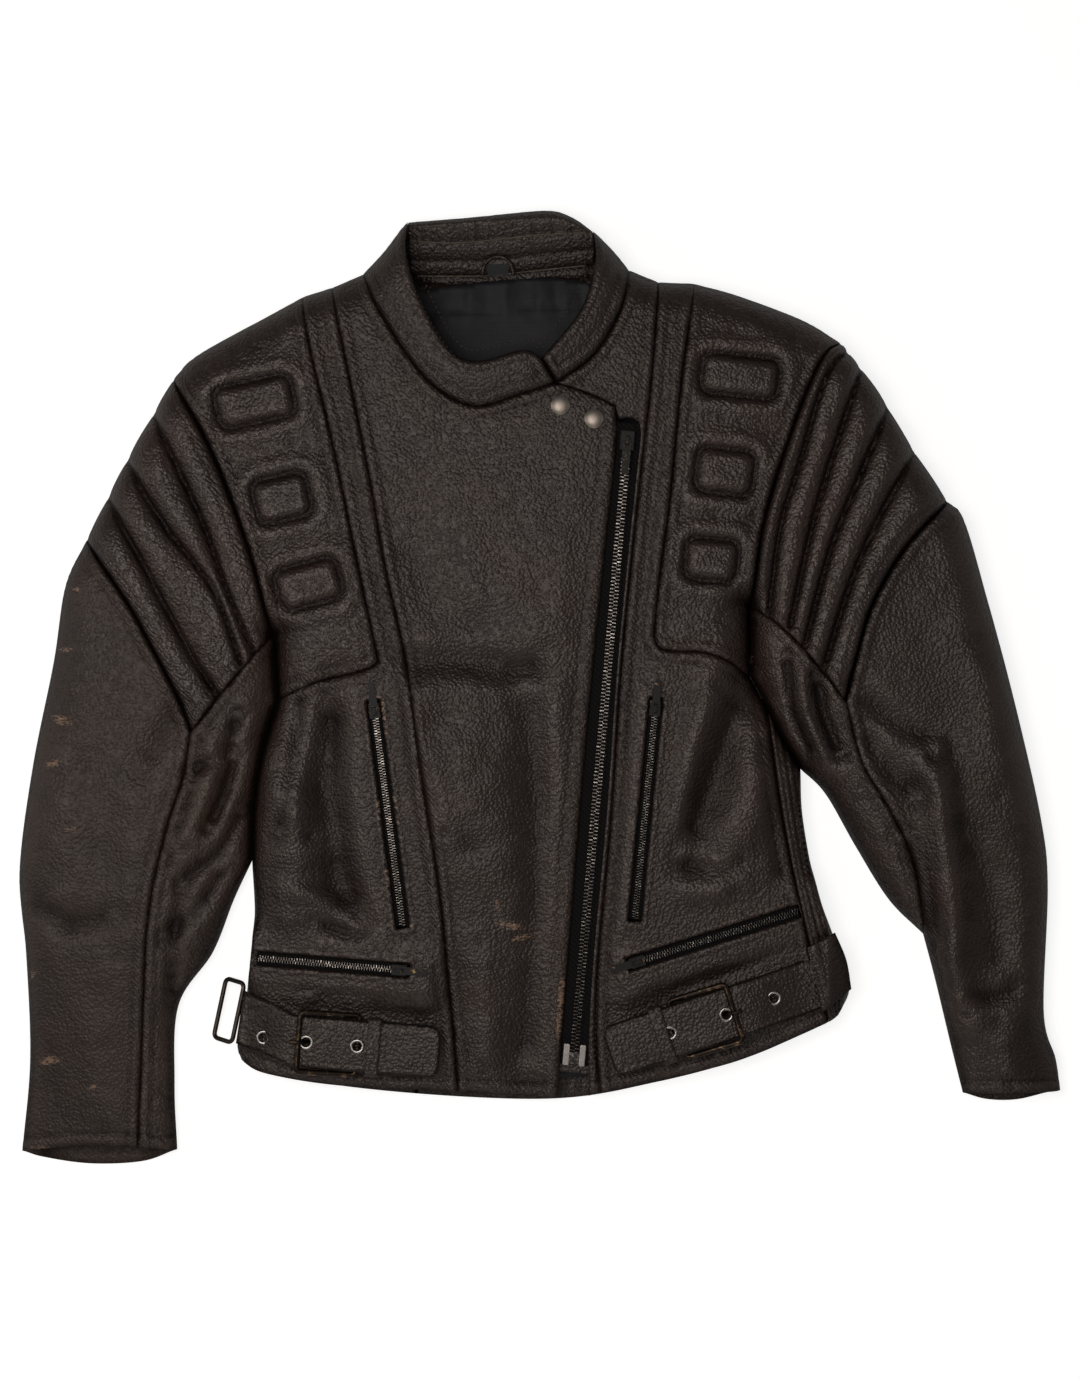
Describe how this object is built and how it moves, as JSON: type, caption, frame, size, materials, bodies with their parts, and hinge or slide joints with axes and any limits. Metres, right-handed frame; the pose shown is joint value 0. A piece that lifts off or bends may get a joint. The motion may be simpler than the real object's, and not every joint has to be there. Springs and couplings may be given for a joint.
{
  "type": "leather riding jacket",
  "caption": "Short leather riding jacket lying flat: stand collar, off-centre zip with snap flap, padded yokes, corded sleeves, zip pockets and waist adjuster belts.",
  "frame": {"origin": "centre of the bounding box on the surface the jacket lies on", "axes": "+Z out of the front of the jacket, away from the surface; +Y towards the collar; +X towards the wearer's left sleeve"},
  "size_m": [0.7871, 0.7217, 0.0582],
  "materials": {
    "leather": "semi-gloss pebbled full grain, black-brown, worn tan at edges",
    "lining": "quilted satin, charcoal",
    "padding": "soft foam",
    "zip_black": "blackened teeth on woven tape",
    "slider_black": "black enamel, worn to brass",
    "zip_box_nickel": "satin nickel",
    "snap_pewter": "warm pewter, satin",
    "buckle_brass": "worn antique brass"
  },
  "bodies": {
    "jacket": {"back_panel": "leather", "belt_anchor_left": "leather", "belt_anchor_right": "leather", "belt_carrier_left": "leather", "belt_tail_left": "leather", "belt_tail_right": "leather", "collar_back_inner": "leather", "collar_back_outer": "leather", "collar_band_left": "leather", "collar_band_right": "leather", "front_left": "leather", "front_right": "leather", "hanger_loop": "lining", "lining_back": "lining", "pocket_bag_chest_left": "lining", "pocket_bag_chest_right": "lining", "pocket_bag_hand_left": "lining", "pocket_bag_hand_right": "lining", "side_front_left": "leather", "side_front_right": "leather", "side_panel_left": "leather", "size_label": "lining", "sleeve_back_left": "leather", "sleeve_back_right": "leather", "sleeve_rib_left": "leather", "sleeve_rib_right": "leather", "sleeve_top_left": "leather", "sleeve_top_right": "leather", "sleeve_under_left": "leather", "sleeve_under_right": "leather", "snap_cap_inner": "snap_pewter", "snap_cap_outer": "snap_pewter", "wind_flap": "leather", "yoke_left": "leather", "yoke_padding_left": "padding", "yoke_padding_right": "padding", "yoke_right": "leather", "zip_box": "zip_box_nickel", "zip_chest_left": "zip_black", "zip_chest_right": "zip_black", "zip_hand_left": "zip_black", "zip_hand_right": "zip_black", "zip_main": "zip_black"},
    "slider_main": {"slider_main": "slider_black"},
    "pull_main": {"pull_main": "slider_black"},
    "slider_chest_right": {"slider_chest_right": "slider_black"},
    "pull_chest_right": {"pull_chest_right": "slider_black"},
    "slider_hand_right": {"slider_hand_right": "slider_black"},
    "pull_hand_right": {"pull_hand_right": "slider_black"},
    "slider_chest_left": {"slider_chest_left": "slider_black"},
    "pull_chest_left": {"pull_chest_left": "slider_black"},
    "slider_hand_left": {"slider_hand_left": "slider_black"},
    "pull_hand_left": {"pull_hand_left": "slider_black"},
    "buckle_right": {"buckle_frame_right": "buckle_brass"},
    "prong_right": {"buckle_prong_right": "buckle_brass"},
    "keeper_right": {"belt_keeper_right": "leather"},
    "buckle_left": {"buckle_frame_left": "buckle_brass"},
    "prong_left": {"buckle_prong_left": "buckle_brass"},
    "keeper_left": {"belt_keeper_left": "leather"},
    "side_ring": {"side_ring": "buckle_brass"}
  },
  "joints": [
    {"name": "slider_main_slide", "type": "slide", "parent": "jacket", "child": "slider_main", "axis": [-0.0853, -0.9956, -0.0399], "range_m": [0, 0.43]},
    {"name": "pull_main_swing", "type": "hinge", "parent": "slider_main", "child": "pull_main", "pos_m": [0.06599, 0.18492, 0.04995], "axis": [-0.9963, 0.0854, 0], "range_deg": [0, 150]},
    {"name": "slider_chest_right_slide", "type": "slide", "parent": "jacket", "child": "slider_chest_right", "axis": [0.1279, -0.991, -0.0389], "range_m": [0, 0.147]},
    {"name": "pull_chest_right_swing", "type": "hinge", "parent": "slider_chest_right", "child": "pull_chest_right", "pos_m": [-0.12299, -0.01708, 0.04549], "axis": [0.9918, 0.128, 0], "range_deg": [0, 150]},
    {"name": "slider_hand_right_slide", "type": "slide", "parent": "jacket", "child": "slider_hand_right", "axis": [-0.9953, 0.0788, -0.0569], "range_m": [0, 0.095]},
    {"name": "pull_hand_right_swing", "type": "hinge", "parent": "slider_hand_right", "child": "pull_hand_right", "pos_m": [-0.10511, -0.21099, 0.04101], "axis": [-0.079, -0.9969, 0], "range_deg": [0, 150]},
    {"name": "slider_chest_left_slide", "type": "slide", "parent": "jacket", "child": "slider_chest_left", "axis": [-0.0949, -0.9947, -0.0386], "range_m": [0, 0.145]},
    {"name": "pull_chest_left_swing", "type": "hinge", "parent": "slider_chest_left", "child": "pull_chest_left", "pos_m": [0.08699, -0.01508, 0.04555], "axis": [0.9955, -0.095, 0], "range_deg": [0, 150]},
    {"name": "slider_hand_left_slide", "type": "slide", "parent": "jacket", "child": "slider_hand_left", "axis": [0.9535, 0.3011, 0.0135], "range_m": [0, 0.112]},
    {"name": "pull_hand_left_swing", "type": "hinge", "parent": "slider_hand_left", "child": "pull_hand_left", "pos_m": [0.07397, -0.20501, 0.03855], "axis": [-0.3011, 0.9536, 0], "range_deg": [0, 150]},
    {"name": "buckle_right_swing", "type": "hinge", "parent": "jacket", "child": "buckle_right", "pos_m": [-0.136, -0.2675, 0.03744], "axis": [0.0793, 0.9969, 0], "range_deg": [0, 3.5]},
    {"name": "prong_right_swing", "type": "hinge", "parent": "jacket", "child": "prong_right", "pos_m": [-0.136, -0.2675, 0.03744], "axis": [0.0793, 0.9969, 0], "range_deg": [0, 3.5]},
    {"name": "keeper_right_slide", "type": "slide", "parent": "jacket", "child": "keeper_right", "axis": [0.9969, -0.0793, 0], "range_m": [0, 0.02]},
    {"name": "buckle_left_swing", "type": "hinge", "parent": "jacket", "child": "buckle_left", "pos_m": [0.1036, -0.2555, 0.03956], "axis": [0.3102, -0.9507, 0], "range_deg": [0, 3.5]},
    {"name": "prong_left_swing", "type": "hinge", "parent": "jacket", "child": "prong_left", "pos_m": [0.1036, -0.2555, 0.03956], "axis": [0.3102, -0.9507, 0], "range_deg": [0, 3.5]},
    {"name": "keeper_left_slide", "type": "slide", "parent": "jacket", "child": "keeper_left", "axis": [-0.9507, -0.3102, 0], "range_m": [0, 0.02]},
    {"name": "side_ring_swing", "type": "hinge", "parent": "jacket", "child": "side_ring", "pos_m": [-0.2268, -0.245, 0.022], "axis": [-0.2079, -0.9781, 0], "range_deg": [-6, 12]}
  ],
  "couplings": [
    {"joint": "prong_right_swing", "follows": "buckle_right_swing", "ratio": 1},
    {"joint": "prong_left_swing", "follows": "buckle_left_swing", "ratio": 1}
  ]
}
